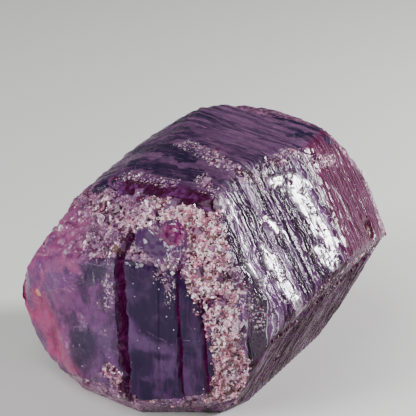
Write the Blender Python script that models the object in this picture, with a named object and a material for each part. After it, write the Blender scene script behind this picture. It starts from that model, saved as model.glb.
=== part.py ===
"""A sapphire crystal: one short barrel of violet corundum, lying on a long face.

Run it with blender --background --python part.py, or from the text editor.
Metres, +Z up. The barrel's long axis runs along X and its broken end faces -X.
The origin is at the middle of the underside.
"""
import math
import random

import bmesh
import bpy
from mathutils import Vector, noise
from mathutils.bvhtree import BVHTree

MM = 0.001
SEED = 11
BLOCK_SIZE = 60 * MM
SNAP = 0.05 * MM
NEAR = 0.2 * MM
MERGE = 0.096 * MM
SAME_DIRECTION = 0.99999

# Each facet: its turn about the long axis, in degrees from straight up towards
# the front; its lean, in degrees towards the far end; and its reach, the
# distance from the middle of the crystal to the facet.
SIDES = {
    "front_upper": (54, 3, 10.7 * MM),
    "front_lower": (119, 12, 10.7 * MM),
    "front_far": (57, 22, 12.3 * MM),
    "top_near": (-7, -18, 10.5 * MM),
    "top_far": (2, 6, 11.2 * MM),
    "top_brow": (-30, -13, 11.2 * MM),
    "back_upper_near": (297, -12, 12.5 * MM),
    "back_upper_far": (300, 12, 13.8 * MM),
    "back_lower": (240, 0, 14.0 * MM),
    "back_lower_far": (240, 25, 13.7 * MM),
}
RIMS = {
    "rim_back": (338, -42, 11.1 * MM),
    "rim_top": (352, -55, 12.9 * MM),
    "rim_window": (30, -52, 12.3 * MM),
    "rim_corner": (62, -56, 12.7 * MM),
    "rim_front": (88, -42, 13.0 * MM),
    "chin_front": (150, -30, 13.7 * MM),
    "chin": (180, -50, 14.7 * MM),
    "chin_back": (203, -40, 15.9 * MM),
    "toe": (142, -4, 13.0 * MM),
    "far_top": (5, 50, 17.1 * MM),
    "far_shoulder": (32, 47, 17.3 * MM),
    "far_back": (300, 45, 16.2 * MM),
}
ENDS = {
    "end_left": (270, -84, 12.15 * MM),
    "end_right": (90, -72, 11.95 * MM),
    "pink_facet": (245, -74, 13.55 * MM),
    "far_end": (171, 78, 16.9 * MM),
    "far_under": (181, 21, 14.7 * MM),
}
BASE = {"base": (180, 0, 11.0 * MM)}
FACETS = {**SIDES, **RIMS, **ENDS, **BASE}

# Growth ledges that run round the sides, square to the long axis.
LEDGES_FROM = -9.5 * MM
LEDGES_TO = 15.5 * MM
LEDGE_GAPS = (0.75 * MM, 1.55 * MM)
LEDGE_HEIGHTS = (0.16 * MM, 0.44 * MM)
LEDGE_RISER = 0.12 * MM
LEDGE_FADE = 0.9 * MM

# Long steps down the front lower face, below its top edge.
STEP_TOP = (-9.6 * MM, 0.9 * MM)
STEPS = ((1.7 * MM, 0.30 * MM), (3.3 * MM, 0.45 * MM), (4.9 * MM, 0.30 * MM))

# Lumps of the bruised, sugary rims.
LUMP_HEIGHT = 0.40 * MM
LUMP_SIZE = 1.5 * MM
LUMP_GRID = 0.84 * MM
GRID_LINES = 16
ROUND_STEP = 12
EDGE_WEAR = 0.28 * MM
SHARPEST_FOLD = math.radians(165)
EASE_ROUNDS = 12

# Clefts in the broken end: top and bottom (y, z), half width and depth. The
# slab between the second cleft and the slab edge stands a little back.
CLEFTS = (
    ((-0.75 * MM, 6.2 * MM), (-1.50 * MM, -9.6 * MM), 0.42 * MM, 1.1 * MM),
    ((-5.90 * MM, 5.2 * MM), (-6.40 * MM, -8.0 * MM), 0.17 * MM, 0.45 * MM),
    ((-8.05 * MM, 2.2 * MM), (-8.75 * MM, -8.2 * MM), 0.20 * MM, 0.50 * MM),
)
SLAB_EDGE = (-4.30 * MM, -4.14 * MM)
SLAB_DROP = 0.14 * MM

# Pits: place, radius and depth.
PITS = (
    ((-9.2 * MM, -4.4 * MM, 6.9 * MM), 0.95 * MM, 0.55 * MM),
    ((12.9 * MM, -8.6 * MM, 1.4 * MM), 1.15 * MM, 0.60 * MM),
    ((-8.3 * MM, -9.2 * MM, 0.4 * MM), 0.90 * MM, 0.45 * MM),
    ((-9.6 * MM, 3.6 * MM, 5.6 * MM), 1.10 * MM, 0.45 * MM),
)

VIOLET = (0.105, 0.045, 0.135, 1.0)


def clear_scene():
    for item in list(bpy.data.objects):
        bpy.data.objects.remove(item, do_unlink=True)


def facet_normal(facet):
    turn, lean, _ = facet
    turn, lean = math.radians(turn), math.radians(lean)
    return Vector((math.sin(lean), -math.sin(turn) * math.cos(lean), math.cos(turn) * math.cos(lean)))


NORMALS = {name: facet_normal(facet) for name, facet in FACETS.items()}


def nearness(point, group, fade):
    """1 on a facet of the group, falling to 0 at the fade distance inside it."""
    gap = min(facet[2] - NORMALS[name].dot(point) for name, facet in group.items())
    return max(0.0, 1.0 - max(gap, 0.0) / fade)


def smooth(low, high, value):
    t = min(max((value - low) / (high - low), 0.0), 1.0)
    return t * t * (3.0 - 2.0 * t)


def cut_block():
    """A block cut back by every facet in turn, each cut closed with a face."""
    bm = bmesh.new()
    bmesh.ops.create_cube(bm, size=BLOCK_SIZE)
    for name, facet in FACETS.items():
        normal = NORMALS[name]
        everything = bm.verts[:] + bm.edges[:] + bm.faces[:]
        cut = bmesh.ops.bisect_plane(
            bm, geom=everything, dist=SNAP / 10, plane_co=normal * facet[2], plane_no=normal, clear_outer=True)
        rim = [item for item in cut["geom_cut"] if isinstance(item, bmesh.types.BMEdge)]
        if rim:
            bmesh.ops.contextual_create(bm, geom=rim)
    bmesh.ops.recalc_face_normals(bm, faces=bm.faces[:])
    return bm


def faces_of(bm, *groups):
    """The faces that lie on the facets of these groups."""
    normals = [NORMALS[name] for group in groups for name in group]
    return [face for face in bm.faces if any(face.normal.dot(normal) > SAME_DIRECTION for normal in normals)]


def each_once(items):
    """The items in their order, each one once, so that every run cuts alike."""
    return list(dict.fromkeys(items))


def slice_faces(bm, faces, point, normal):
    edges = each_once(edge for face in faces for edge in face.edges)
    verts = each_once(vert for face in faces for vert in face.verts)
    bmesh.ops.bisect_plane(bm, geom=verts + edges + faces, dist=SNAP, plane_co=point, plane_no=normal)


def ledge_list():
    """Where each growth ledge stands along X, and how high it is."""
    rng = random.Random(SEED)
    ledges, x = [], LEDGES_FROM
    while x < LEDGES_TO:
        ledges.append((x, rng.uniform(*LEDGE_HEIGHTS)))
        x += rng.uniform(*LEDGE_GAPS)
    return ledges


LEDGES = ledge_list()


def slice_ledges(bm):
    across = Vector((1, 0, 0))
    for x, _ in LEDGES:
        for at in (x, x + LEDGE_RISER):
            slice_faces(bm, faces_of(bm, SIDES), Vector((at, 0, 0)), across)
    for turn in range(0, 180, ROUND_STEP):
        angle = math.radians(turn + ROUND_STEP / 3)
        normal = Vector((0, math.cos(angle), math.sin(angle)))
        slice_faces(bm, faces_of(bm, SIDES, RIMS), Vector(), normal)


def slice_steps(bm):
    front = {"front_lower": FACETS["front_lower"]}
    top = Vector((0, *STEP_TOP))
    down = Vector((0, 0, -1))
    for drop, _ in STEPS:
        for at in (drop, drop + LEDGE_RISER):
            slice_faces(bm, faces_of(bm, front), top + down * at, down)


def slice_rims(bm):
    """A grid over each rim facet, fine enough for its lumps."""
    for name, facet in RIMS.items():
        normal = NORMALS[name]
        sideways = Vector((1, 0, 0)).cross(normal).normalized()
        along = normal.cross(sideways)
        for direction in (sideways, along):
            for i in range(-GRID_LINES, GRID_LINES + 1):
                point = normal * facet[2] + direction * (LUMP_GRID * i)
                slice_faces(bm, faces_of(bm, {name: facet}), point, direction)


def cleft_side(cleft):
    """A point of the cleft's middle line and the direction square to it in the end face."""
    top, bottom, _, _ = cleft
    line = Vector((0, top[0] - bottom[0], top[1] - bottom[1])).normalized()
    return Vector((0, *bottom)), Vector((0, line.z, -line.y))


def slice_clefts(bm):
    near_end = {name: ENDS[name] for name in ("end_left", "end_right")}
    for cleft in CLEFTS:
        point, sideways = cleft_side(cleft)
        for shift in (-cleft[2], 0.0, cleft[2]):
            slice_faces(bm, faces_of(bm, near_end, RIMS), point + sideways * shift, sideways)
        for z in (cleft[0][1], cleft[1][1]):
            slice_faces(bm, faces_of(bm, near_end), Vector((0, 0, z)), Vector((0, 0, 1)))
    for y in SLAB_EDGE:
        slice_faces(bm, faces_of(bm, near_end), Vector((0, y, 0)), Vector((0, 1, 0)))


def slice_pits(bm):
    for place, radius, _ in PITS:
        centre = Vector(place)
        near = [face for face in bm.faces if (face.calc_center_median() - centre).length < radius * 2]
        edges = each_once(edge for face in near for edge in face.edges)
        bmesh.ops.subdivide_edges(bm, edges=edges, cuts=1)


def ledge_relief(point):
    """How far a side stands back at this place along X: a saw of uneven teeth."""
    height = 0.0
    for (start, rise), (end, _) in zip(LEDGES, LEDGES[1:]):
        if start + LEDGE_RISER / 2 <= point.x < end + LEDGE_RISER / 2:
            along = (point.x - start) / (end - start)
            height = rise * (along - 1.0) if along > LEDGE_RISER / (end - start) / 2 else 0.0
    patch = noise.noise(Vector((point.x / 5, point.y / 3, point.z / 3)) / MM)
    return height * (0.75 + 0.7 * patch)


def step_relief(point):
    drop = STEP_TOP[1] - point.z
    depth = 0.0
    for below, rise in STEPS:
        if drop > below + LEDGE_RISER / 2:
            depth = -rise if depth == 0.0 else depth * 0.4
    return depth


def cleft_relief(point):
    depth = 0.0
    for cleft in CLEFTS:
        origin, sideways = cleft_side(cleft)
        off = abs((point - origin).dot(sideways))
        inside = cleft[1][1] + SNAP < point.z < cleft[0][1] - SNAP
        if inside and off < cleft[2] * 0.9:
            depth = max(depth, cleft[3] * (1.0 - off / cleft[2]))
    return depth


def pit_relief(point):
    depth = 0.0
    for place, radius, deep in PITS:
        off = (point - Vector(place)).length
        depth = max(depth, deep * (1.0 - smooth(radius * 0.55, radius, off)))
    return depth


def shape_relief(bm):
    """Moves the points of the sliced facets into ledges, steps, lumps, clefts and pits."""
    bm.normal_update()
    moves = {}
    floor = -BASE["base"][2]
    for vert in bm.verts:
        point, normal = vert.co.copy(), vert.normal.copy()
        outward = Vector((0, point.y, point.z)).normalized()
        grip = smooth(0.0, 1.2 * MM, point.z - floor)
        on_side = nearness(point, SIDES, LEDGE_FADE) * (1.0 - nearness(point, {**RIMS, **ENDS}, LEDGE_FADE))
        on_rim = nearness(point, RIMS, LUMP_GRID)
        on_end = nearness(point, ENDS, NEAR)
        on_steps = nearness(point, {"front_lower": FACETS["front_lower"]}, NEAR)
        grain = noise.noise(point / LUMP_SIZE) + 0.5 * noise.noise(point * 2.3 / LUMP_SIZE)
        move = outward * (ledge_relief(point) * on_side)
        move += outward * (step_relief(point) * on_steps * (1.0 - on_rim))
        move += normal * (LUMP_HEIGHT * (grain - 0.25) * on_rim * (1.0 - 0.8 * on_end))
        corners = sum(nearness(point, {name: facet}, NEAR) for name, facet in FACETS.items())
        if corners > 1.5:
            move -= normal * (EDGE_WEAR * (0.5 + 0.8 * noise.noise(point * 2.0 / LUMP_SIZE)))
        move -= normal * pit_relief(point)
        if point.x < 0:
            move.x += cleft_relief(point)
            on_slab = on_end > 0.5 and CLEFTS[1][0][0] < point.y < SLAB_EDGE[0] + SNAP
            move.x += SLAB_DROP if on_slab and not on_rim else 0.0
        moves[vert] = move * grip
    for vert, move in moves.items():
        vert.co += move


def crossing_points(bm, floor):
    """The points of and next to faces that cut through each other, apart from those on the base."""
    bm.faces.ensure_lookup_table()
    tree = BVHTree.FromBMesh(bm)
    points = []
    for first, second in tree.overlap(tree):
        ours, theirs = list(bm.faces[first].verts), list(bm.faces[second].verts)
        if not set(ours) & set(theirs):
            points += ours + theirs
    for edge in bm.edges:
        if edge.calc_face_angle(0.0) > SHARPEST_FOLD:
            points += [vert for face in edge.link_faces for vert in face.verts]
    around = each_once(vert for point in points for edge in point.link_edges for vert in edge.verts)
    return [vert for vert in around if vert.co.z > floor + SNAP]


def ease_crossings(bm):
    """Smooths the points of faces that cut through each other, until none do."""
    floor = min(vert.co.z for vert in bm.verts)
    for _ in range(EASE_ROUNDS):
        points = crossing_points(bm, floor)
        if not points:
            return
        bmesh.ops.smooth_vert(bm, verts=points, factor=0.5, use_axis_x=True, use_axis_y=True, use_axis_z=True)
        bmesh.ops.dissolve_degenerate(bm, edges=bm.edges[:], dist=SNAP)
        bmesh.ops.triangulate(bm, faces=bm.faces[:])
    raise RuntimeError("Some faces still cross after easing")


def stand_on_base(bm):
    """Puts the origin at the middle of the underside."""
    low = Vector([min(vert.co[i] for vert in bm.verts) for i in range(3)])
    high = Vector([max(vert.co[i] for vert in bm.verts) for i in range(3)])
    bmesh.ops.translate(bm, verts=bm.verts[:], vec=-Vector(((low.x + high.x) / 2, (low.y + high.y) / 2, low.z)))


def crystal_material():
    material = bpy.data.materials.new("violet_sapphire")
    material.use_nodes = True
    shader = material.node_tree.nodes["Principled BSDF"]
    shader.inputs["Base Color"].default_value = VIOLET
    shader.inputs["Roughness"].default_value = 0.3
    shader.inputs["Metallic"].default_value = 0.0
    shader.inputs["IOR"].default_value = 1.77
    return material


def make_crystal():
    bm = cut_block()
    slice_ledges(bm)
    slice_steps(bm)
    slice_clefts(bm)
    slice_rims(bm)
    slice_pits(bm)
    bmesh.ops.remove_doubles(bm, verts=bm.verts[:], dist=MERGE)
    shape_relief(bm)
    bmesh.ops.dissolve_degenerate(bm, edges=bm.edges[:], dist=SNAP)
    bmesh.ops.triangulate(bm, faces=bm.faces[:])
    ease_crossings(bm)
    stand_on_base(bm)
    mesh = bpy.data.meshes.new("sapphire_crystal")
    bm.to_mesh(mesh)
    bm.free()
    mesh.materials.append(crystal_material())
    crystal = bpy.data.objects.new("sapphire_crystal", mesh)
    bpy.context.scene.collection.objects.link(crystal)
    return crystal


clear_scene()
make_crystal()
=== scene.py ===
"""A rough sapphire crystal on a pale floor: its ledged faces, broken glassy end and sugary rims."""

import math
import random
from functools import partialmethod
from types import SimpleNamespace

import bpy
import numpy as np
from bpy.props import FloatProperty, FloatVectorProperty, IntProperty, PointerProperty
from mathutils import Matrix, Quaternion, Vector, noise


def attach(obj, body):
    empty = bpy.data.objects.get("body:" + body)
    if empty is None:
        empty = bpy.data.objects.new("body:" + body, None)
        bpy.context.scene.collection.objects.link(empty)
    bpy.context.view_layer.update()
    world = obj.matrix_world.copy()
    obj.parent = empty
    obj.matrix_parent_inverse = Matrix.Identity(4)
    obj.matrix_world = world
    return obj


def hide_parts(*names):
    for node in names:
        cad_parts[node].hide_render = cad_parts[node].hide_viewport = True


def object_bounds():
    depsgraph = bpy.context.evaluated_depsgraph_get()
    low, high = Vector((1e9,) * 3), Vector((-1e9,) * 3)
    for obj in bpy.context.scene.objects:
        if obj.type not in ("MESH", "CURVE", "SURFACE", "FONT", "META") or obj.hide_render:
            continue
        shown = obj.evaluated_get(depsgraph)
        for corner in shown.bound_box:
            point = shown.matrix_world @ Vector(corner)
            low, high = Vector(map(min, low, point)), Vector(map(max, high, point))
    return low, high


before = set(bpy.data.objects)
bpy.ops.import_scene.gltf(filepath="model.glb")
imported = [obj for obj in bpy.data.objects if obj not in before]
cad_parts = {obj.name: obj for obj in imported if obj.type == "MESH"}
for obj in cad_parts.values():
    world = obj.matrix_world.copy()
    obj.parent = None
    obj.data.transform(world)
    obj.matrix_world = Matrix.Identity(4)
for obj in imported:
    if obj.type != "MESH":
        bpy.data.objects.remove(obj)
CAD_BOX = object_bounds()

bl_info = {
    "name": "Rough Sapphire",
    "version": (1, 0, 0),
    "blender": (4, 5, 0),
    "location": "3D View > Sidebar > Sapphire",
    "description": "Models a rough violet sapphire crystal, its grains and a plain studio around it",
    "category": "Object",
}

NODE = "sapphire_crystal"
MM = 0.001
CORUNDUM_IOR = 1.77

# The crystal's middle in the frame. Places below are millimetres from it, with
# X along the barrel towards its far end, -Y to the front and Z up.
MIDDLE = Vector((-2.97, -1.035, 11.0))
BASE_Z = -MIDDLE.z

# Side of the block that the facets cut, more than the crystal's length, and
# the angle in degrees up to which its surface is shaded smooth.
BLOCK_SIDE = 60.0
SMOOTH_UP_TO = 40

# Each facet: turn about the long axis in degrees from straight up towards the
# front, lean in degrees towards the far end, and reach from the middle.
SIDES = {
    "front_upper": (54, 3, 10.7),
    "front_lower": (119, 12, 10.7),
    "front_far": (57, 22, 12.3),
    "top_near": (-7, -18, 10.5),
    "top_far": (2, 6, 11.2),
    "top_brow": (-30, -13, 11.2),
    "back_upper_near": (297, -12, 12.5),
    "back_upper_far": (300, 12, 13.8),
    "back_lower": (240, 0, 14.0),
    "back_lower_far": (240, 25, 13.7),
}
RIMS = {
    "rim_back": (338, -42, 11.1),
    "rim_top": (352, -55, 12.9),
    "rim_window": (30, -52, 12.3),
    "rim_corner": (62, -56, 12.7),
    "rim_front": (88, -42, 13.0),
    "chin_front": (150, -30, 13.7),
    "chin": (180, -50, 14.7),
    "chin_back": (203, -40, 15.9),
    "toe": (142, -4, 13.0),
    "far_top": (5, 50, 17.1),
    "far_shoulder": (32, 47, 17.3),
    "far_back": (300, 45, 16.2),
}
ENDS = {
    "end_left": (270, -84, 12.15),
    "end_right": (90, -72, 11.95),
    "pink_facet": (245, -74, 13.55),
    "far_end": (171, 78, 16.9),
    "far_under": (181, 21, 14.7),
}
BASE = {"base": (180, 0, 11.0)}
FACETS = {**SIDES, **RIMS, **ENDS, **BASE}

# The rims that have ledges like the sides, and the facets of each tone.
LEDGED_RIMS = ("rim_front", "toe", "far_back")
TOP_FACETS = ("top_near", "top_far", "top_brow", "back_upper_near", "back_upper_far")
FAR_FACETS = ("front_far", "far_end", "far_shoulder", "far_top")
UNDER_FACETS = ("front_lower", "far_under", "toe", "base", "back_lower")
END_FACETS = ("end_left", "end_right", "pink_facet")

# Growth ledges, square to the long axis: where they start and end, then for the
# coarse and the fine ones the random seed, heights, width of a riser and gaps.
LEDGED = (-9.5, 15.5)
LEDGES = (11, (0.16, 0.44), 0.12, (0.75, 1.55))
FINE_LEDGES = (12, (0.03, 0.15), 0.08, (0.28, 0.62))

# Widths of the teeth that the material cuts between the ledges.
TOOTH_WIDTH = 0.62
NICK_WIDTH = 0.23

# Long steps down the front lower face.
STEP_TOP = 0.9
STEPS = ((1.7, 0.3), (3.3, 0.45), (4.9, 0.3))

# Clefts in the broken end: top and bottom (y, z), half width and depth.
CLEFTS = (
    ((-0.6, 6.2), (-1.3, -9.6), 0.52, 1.1),
    ((-5.9, 5.2), (-6.4, -8.0), 0.17, 0.45),
    ((-8.05, 2.2), (-8.75, -8.2), 0.2, 0.5),
)

# The slab beside the second cleft: its far edge and how far it drops.
SLAB_EDGE = -4.3
SLAB_DROP = 0.14

# Pits: place, radius and depth. The stains are the radii of the tones in two of them.
WINDOW = (-9.2, -4.4, 6.9)
POCKET = (12.9, -8.6, 1.4)
WINDOW_STAIN = (1.05, 1.4, 1.0)
POCKET_STAIN = (1.2, 1.2, 1.2)
PITS = (
    (WINDOW, 0.8, 0.16),
    (POCKET, 1.15, 0.3),
    ((-8.3, -9.2, 0.4), 0.9, 0.45),
    ((-9.6, 3.6, 5.6), 1.1, 0.45),
)

# Lines through places on the crystal that a tone follows: half width, then the places.
SUGAR = (
    (1.3, ((-8.4, -1.1, 8.4), (-8.2, -4.1, 8.5), (-7.8, -6.4, 8.0))),
    (1.75, ((-7.8, -6.4, 8.0), (-8.5, -7.8, 6.2), (-9.2, -8.0, 4.1), (-9.1, -9.1, 2.1))),
    (1.5, ((-9.1, -9.1, 2.1), (-8.7, -9.8, -0.7), (-8.5, -10.0, -2.6), (-8.2, -10.2, -4.7),
            (-8.2, -9.1, -7.6))),
    (1.0, ((-7.6, 6.0, 6.5), (-8.3, 4.2, 6.3), (-9.2, 1.8, 6.4), (-9.7, -0.9, 6.8))),
    (0.75, ((-12.1, 0.9, -6.9), (-12.2, -0.7, -7.6))),
)
FLECKS = (
    (0.7, ((-5.2, 5.4, 8.8), (-5.2, 3.6, 9.0), (-5.4, -0.7, 9.4))),
    (0.75, ((0.1, 2.6, 10.9), (-0.6, -0.5, 11.0), (-1.9, -4.5, 11.0), (-1.5, -6.0, 10.2))),
    (0.65, ((-4.2, -3.1, 10.1), (-5.2, -5.1, 10.0), (-5.6, -6.8, 9.4))),
    (0.7, ((-1.5, -6.0, 10.2), (1.5, -6.1, 10.2), (5.4, -5.3, 10.5), (8.4, -6.0, 8.8), (12.1, -5.1, 7.5))),
    (0.8, ((15.4, -3.8, 7.2), (17.9, -4.3, 4.5), (16.1, -7.7, 0.5), (15.9, -7.5, -2.0))),
    (0.8, ((-7.8, -9.8, 5.1), (-7.2, -10.9, 2.4), (-6.5, -11.9, -0.3))),
    (0.5, ((-11.2, -4.1, 3.6), (-10.8, -5.4, 3.0), (-10.7, -5.3, 1.6))),
    (0.6, ((-12.3, 0.5, 2.2), (-12.3, 0.3, -0.2))),
    (0.6, ((-5.2, -12.2, 0.0), (1.8, -12.3, 0.0), (6.5, -11.5, 0.2), (13.0, -8.8, 0.0))),
)
NAVY = (
    (0.95, ((0.4, 8.6, 8.4), (-0.8, 4.8, 10.2), (-1.9, -0.1, 10.5))),
    (0.95, ((-2.9, 6.1, 8.9), (-3.9, 1.2, 9.7), (-4.0, -2.3, 10.1))),
    (0.6, ((8.7, -2.6, 10.3), (13.0, -3.8, 8.8))),
    (0.8, ((-6.0, 7.7, 7.1), (-5.7, 5.0, 8.5))),
)
# The maroon lines carry a painted shadow band.
MAROON = (
    (1.15, ((-6.3, 4.2, 8.3), (-6.5, 0.8, 8.9), (-6.6, -3.1, 9.4), (-6.7, -6.4, 9.3))),
    (0.6, ((-1.9, -5.6, 10.7), (0.7, -6.6, 9.0))),
)
CLEAR = (
    (1.15, ((-9.2, -4.2, 7.0), (-9.4, -4.8, 6.7))),
    (0.9, ((-10.5, -1.9, 6.4), (-10.3, -3.9, 5.6))),
    (1.0, ((-6.2, 3.7, 8.6), (-6.1, 0.8, 9.0), (-6.3, -3.1, 9.5), (-6.6, -6.3, 9.7))),
    (0.8, ((-5.0, 7.4, 7.9), (-4.5, 5.3, 9.0))),
)
PALE_EDGES = (
    (0.7, ((-10.3, 11.4, -6.5), (-10.4, 10.1, -8.8), (-11.0, 7.5, -9.6))),
    (0.6, ((-10.4, 12.4, -4.5), (-10.9, 11.5, -1.8))),
)
PINK_EDGES = (
    (1.1, ((11.4, 6.2, 10.3), (12.6, 2.9, 10.1), (13.6, 0.2, 9.8), (14.6, -3.0, 8.4))),
    (0.8, ((15.4, -3.8, 7.2), (17.9, -4.3, 4.5), (16.1, -7.7, 0.5), (15.9, -7.5, -2.0))),
)
GLINTS = (
    (1.05, ((3.6, -7.2, 7.9), (4.0, -9.0, 5.4), (4.8, -10.4, 3.4))),
    (1.0, ((3.2, -10.7, 3.2), (3.8, -11.6, 1.9))),
    (0.9, ((-3.6, -10.0, 4.7), (-3.2, -11.6, 2.6), (-2.6, -13.0, 0.1))),
    (0.45, ((-6.2, -10.2, 5.0), (-5.6, -11.4, 3.0))),
    (0.7, ((1.3, -6.6, 9.0), (2.4, -6.6, 8.9))),
    (0.65, ((3.9, -6.6, 8.8), (5.6, -7.3, 7.6))),
    (0.8, ((-5.6, -6.8, 9.4), (-5.2, -7.8, 8.2))),
    (0.5, ((-1.6, -8.4, 7.0), (-0.8, -9.2, 6.0))),
)

# Single specks on the crystal: hue, radius and place.
SPECKS = (
    ("amber", 0.3, (7.0, -5.9, 10.2)),
    ("amber", 0.4, (-11.1, 10.2, -2.4)),
    ("sugar", 0.3, (-5.65, -7.72, 8.15)),
    ("stain", 0.9, (-11.1, 0.3, 5.2)),
)

# Thin pale scratches on the broken end, between (y, z) places.
SCRATCH_WIDTH = 0.04
SCRATCHES = (
    ((10.2, -2.4), (7.2, -0.8)),
    ((5.8, -4.3), (3.1, -2.9)),
    ((4.7, 2.4), (1.2, 3.3)),
    ((-6.3, -2.1), (-8.0, -1.8)),
    ((-3.2, -1.8), (-5.6, -2.8)),
)

# Places along Y between which the broken end turns rosy and veined towards its left.
ROSY = (-3.5, 2.5)
VEINED = (3.0, 6.0)

# Outlines of tones on the broken end, as (y, z) corners.
SLABS = (
    ((4.6, 2.3), (3.4, 2.9), (1.1, 3.4), (0.3, 3.1), (1.3, 2.1), (2.0, 1.2), (3.0, 0.7), (3.8, 1.2)),
    ((5.8, -4.6), (2.9, -3.3), (2.1, -3.9), (2.6, -5.8), (4.0, -7.3), (5.2, -8.3), (5.7, -6.3)),
    ((-1.2, 3.2), (-3.0, 3.6), (-5.9, 2.8), (-5.9, -2.6), (-4.2, -2.4), (-3.0, -1.8), (-2.2, -1.2),
     (-1.6, 0.2)),
    ((-1.8, -4.0), (-2.6, -3.8), (-3.5, -4.1), (-3.9, -5.0), (-3.4, -5.9), (-2.6, -6.4), (-1.9, -6.4)),
    ((-6.3, -0.6), (-8.2, -0.9), (-8.4, -3.6), (-6.4, -3.2)),
)
DUSK = (
    ((10.2, -2.4), (8.6, 0.3), (4.8, 1.2), (4.4, 0.7), (7.3, -0.8)),
)
HAZE = (
    ((-1.5, -0.2), (-2.2, -1.6), (-3.1, -2.1), (-4.3, -2.6), (-5.7, -2.7), (-5.7, -3.6), (-4.1, -3.9),
     (-3.0, -3.7), (-2.2, -4.0), (-1.5, -4.4)),
    ((-3.9, -4.2), (-5.7, -4.2), (-5.7, -6.2), (-4.6, -6.2)),
    ((0.3, -2.0), (1.9, -2.4), (2.0, -5.2), (0.4, -5.6)),
)
ROSE = (
    ((12.6, -1.5), (11.4, 3.6), (9.0, 5.6), (6.4, 5.0), (3.6, 3.2), (4.6, 1.6), (8.4, 0.4), (10.0, -2.2)),
)

# The photograph: its side in pixels, millimetres a pixel at the crystal, the
# pixel that shows the crystal's middle, and the camera's angle and lens.
PHOTO_SIDE = 416
MM_PER_PIXEL = 0.09
MIDDLE_PIXEL = (205, 261)
AZIMUTH, ELEVATION = -49.0, 24.0
LENS, SENSOR, CLIP = 200.0, 36.0, (0.01, 10.0)

# The lights: direction from the crystal's middle, then distance and size in metres.
LIGHTS = {
    "key": ((0.75, -0.525, 0.385), 0.17, (0.029, 0.042)),
    "top": ((-0.5, 0.0, 0.85), 0.3, (0.24, 0.24)),
    "fill": ((-0.91, 0.24, 0.34), 0.3, (0.1, 0.1)),
}
FLOOR_SIDE = 3.0
WHITE = (1.0, 1.0, 1.0, 1.0)

# Large uneven numbers that make each place's random value.
CHANCE_TURN = (12.9898, 78.233, 37.719)
CHANCE_SPREAD = 43758.5453

# Grains and splinters: the random seed and number of their shapes, then each
# kind's random seed and the share of its width that one is sunk.
SHAPE_SEED, SHAPE_COUNT = 3, 5
GRAINS = (21, 0.18)
SHARDS = (22, 0.42)

# No grain or splinter lies lower, and no splinter further along the barrel.
GRAINS_LOW = -9.8
SHARDS_FAR = 12.0

# Near-white painted sparkle on the palest grains, standing in for their glints.
PAINTED_SPARKLE = (1.0, 0.93, 0.96)


def facet_normals():
    """Each facet's outward direction."""
    rows = []
    for turn, lean, _ in FACETS.values():
        turn, lean = math.radians(turn), math.radians(lean)
        rows.append((math.sin(lean), -math.sin(turn) * math.cos(lean), math.cos(turn) * math.cos(lean)))
    return np.array(rows)


NAMES = list(FACETS)
NORMALS = facet_normals()
REACHES = np.array([facet[2] for facet in FACETS.values()])


def size(name, description, default):
    return FloatProperty(name=name, description=f"{description}, mm", default=default)


def count(name, description, default):
    return IntProperty(name=name, description=description, default=default)


def colour(name, description, default):
    return FloatVectorProperty(name=name, description=description, default=default, subtype="COLOR", size=3)


def power(name, description, default):
    return FloatProperty(name=name, description=description, default=default, unit="POWER")


class SapphireSizes(bpy.types.PropertyGroup):
    voxel: size("Mesh size", "Edge length of the crystal's mesh", 0.196)
    lump_height: size("Lump height", "Height of the lumps on the rims", 0.4)
    lump_size: size("Lump size", "Width of a lump on the rims", 1.5)
    edge_wear: size("Edge wear", "How round the edges are worn", 0.3)
    grains: count("Grains", "How many sugary grains sit on the rims", 6500)
    grain_low: size("Smallest grain", "Width of the smallest grain", 0.12)
    grain_high: size("Largest grain", "Width of the largest grain", 0.4)
    shards: count("Shards", "How many glassy splinters stand in the rims", 900)
    shard_low: size("Smallest shard", "Width of the smallest splinter", 0.4)
    shard_high: size("Largest shard", "Width of the largest splinter", 1.25)


class SapphireColours(bpy.types.PropertyGroup):
    slab: colour("Slab", "Dark glassy slabs of the broken end", (0.015, 0.007, 0.031))
    violet: colour("Violet", "Violet of the broken end", (0.041, 0.01, 0.053))
    haze: colour("Haze", "Pale lavender veils in the glass", (0.09, 0.044, 0.117))
    rose: colour("Rose", "Rosy glass at the left of the broken end", (0.234, 0.047, 0.14))
    # Bright pink, partly the glass's own colour and partly painted glow of light shining through the thin
    # edge.
    pink: colour("Pink", "Clear pink facet", (0.26, 0.026, 0.108))
    magenta: colour("Magenta", "Depth of the clefts and of the window", (0.08, 0.001, 0.058))
    ledge_dark: colour("Ledge dark", "Dark glass of the ledged faces", (0.026, 0.006, 0.033))
    ledge_mid: colour("Ledge middle", "Middle tone of the ledged faces", (0.1, 0.022, 0.116))
    ledge_pale: colour("Ledge pale", "Pale streaks of the ledged faces", (0.27, 0.15, 0.31))
    # Painted highlight: near-white laid on the ledges' edges and on the patches that mirror the key light,
    # standing in for their glints.
    painted_glint: colour("Gleam", "Thin bright edges of the ledges", (0.86, 0.8, 0.9))
    navy: colour("Navy", "Dark streaks on the top", (0.008, 0.002, 0.025))
    plum: colour("Plum", "Purple of the glass", (0.105, 0.023, 0.113))
    heather: colour("Heather", "Greyish purple of the top faces", (0.104, 0.041, 0.11))
    lilac: colour("Lilac", "Bruised glass of the rims", (0.257, 0.117, 0.211))
    mauve: colour("Mauve", "Pinkish far face", (0.08, 0.01, 0.045))
    # Maroon is the glass's own dark red, and also painted shade on the faces underneath and in the shadow
    # band.
    maroon: colour("Maroon", "Shadowed reddish faces", (0.034, 0.001, 0.017))
    sugar: colour("Sugar", "Pale sugary rims", (0.96, 0.71, 0.81))
    sugar_pink: colour("Sugar pink", "Pinker sugary rims", (0.5, 0.15, 0.25))
    stain: colour("Stain", "Brown specks in the rims", (0.133, 0.066, 0.047))
    amber: colour("Amber", "A few rusty specks", (0.56, 0.23, 0.11))


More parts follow.
